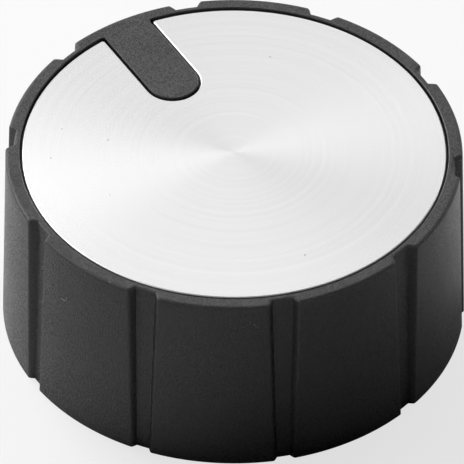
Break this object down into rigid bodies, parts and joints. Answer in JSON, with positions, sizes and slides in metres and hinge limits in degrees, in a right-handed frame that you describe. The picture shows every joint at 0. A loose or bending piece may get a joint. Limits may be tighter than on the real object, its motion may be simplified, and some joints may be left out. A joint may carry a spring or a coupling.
{
  "type": "grill control knob",
  "caption": "Round control knob with grooved sides, an inset brushed metal disc, a raised pointer finger and a D-shaped stem socket underneath.",
  "frame": {"origin": "centre of the knob on the plane of the skirt's lower edge", "axes": "+Z along the stem's axis towards the face plate, +Y towards the pointer"},
  "size_m": [0.052, 0.052, 0.0233],
  "materials": {
    "moulded_body": "fine satin grain on the sides, coarser grain on the rim and pointer",
    "brushed_plate": "circular brushed, satin",
    "adhesive_film": "matt",
    "spring_steel": "rolled strip, satin"
  },
  "bodies": {
    "root": {"knob_body": "moulded_body", "face_plate": "brushed_plate", "adhesive_pad": "adhesive_film", "stem_spring": "spring_steel"}
  },
  "joints": []
}
